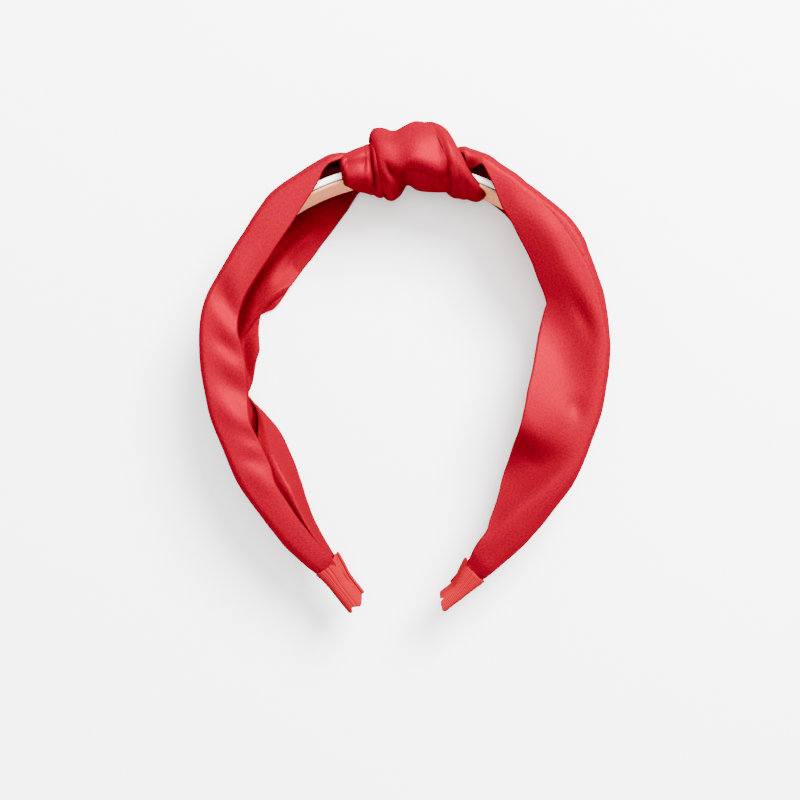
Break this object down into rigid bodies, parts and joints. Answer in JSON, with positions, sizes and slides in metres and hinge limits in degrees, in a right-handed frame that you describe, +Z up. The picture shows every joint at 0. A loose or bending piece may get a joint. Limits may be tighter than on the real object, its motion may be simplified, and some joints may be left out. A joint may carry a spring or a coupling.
{
  "type": "knotted headband",
  "caption": "Wide satin headband on a springy plastic hoop, with a tied knot at the crown, a suede-lined inner face and ribbon-wrapped tips.",
  "frame": {"origin": "middle of the base, under the hoop, with the band lying flat as it is stored and sold", "axes": "+X to the band's right arm, +Y from the tips to the knot, +Z up, square to the plane of the hoop"},
  "size_m": [0.1463, 0.1779, 0.0427],
  "materials": {
    "satin": "crimson satin with a soft sheen",
    "ribbon": "ribbed coral-red grosgrain ribbon",
    "core_plastic": "white moulded plastic, slightly satin",
    "lining_suede": "beige suedette, matt and short-napped",
    "adhesive": "thin dark contact adhesive",
    "hot_melt_glue": "cloudy hot-melt glue"
  },
  "bodies": {
    "crown": {"crown_core": "core_plastic", "crown_glue_film": "adhesive", "crown_lining": "lining_suede", "knot_main_wrap": "satin", "knot_left_fold": "satin", "knot_right_fold": "satin", "knot_inner_strand": "satin"},
    "left_arm": {"left_arm_core": "core_plastic", "left_arm_glue_film": "adhesive", "left_arm_lining": "lining_suede", "left_satin_cover": "satin", "left_gathered_satin": "satin", "left_ribbon_wrap": "ribbon", "left_tip_glue": "hot_melt_glue"},
    "right_arm": {"right_arm_core": "core_plastic", "right_arm_glue_film": "adhesive", "right_arm_lining": "lining_suede", "right_satin_cover": "satin", "right_gathered_satin": "satin", "right_ribbon_wrap": "ribbon", "right_tip_glue": "hot_melt_glue"}
  },
  "joints": [
    {"name": "left_arm_flex", "type": "hinge", "parent": "crown", "child": "left_arm", "pos_m": [-0.02313, 0.0676, 0.021], "axis": [0, 0, -1], "range_deg": [-5, 15], "stiffness_Nm_per_rad": 0.8},
    {"name": "right_arm_flex", "type": "hinge", "parent": "crown", "child": "right_arm", "pos_m": [0.03243, 0.06394, 0.021], "axis": [0, 0, 1], "range_deg": [-5, 15], "stiffness_Nm_per_rad": 0.8}
  ]
}
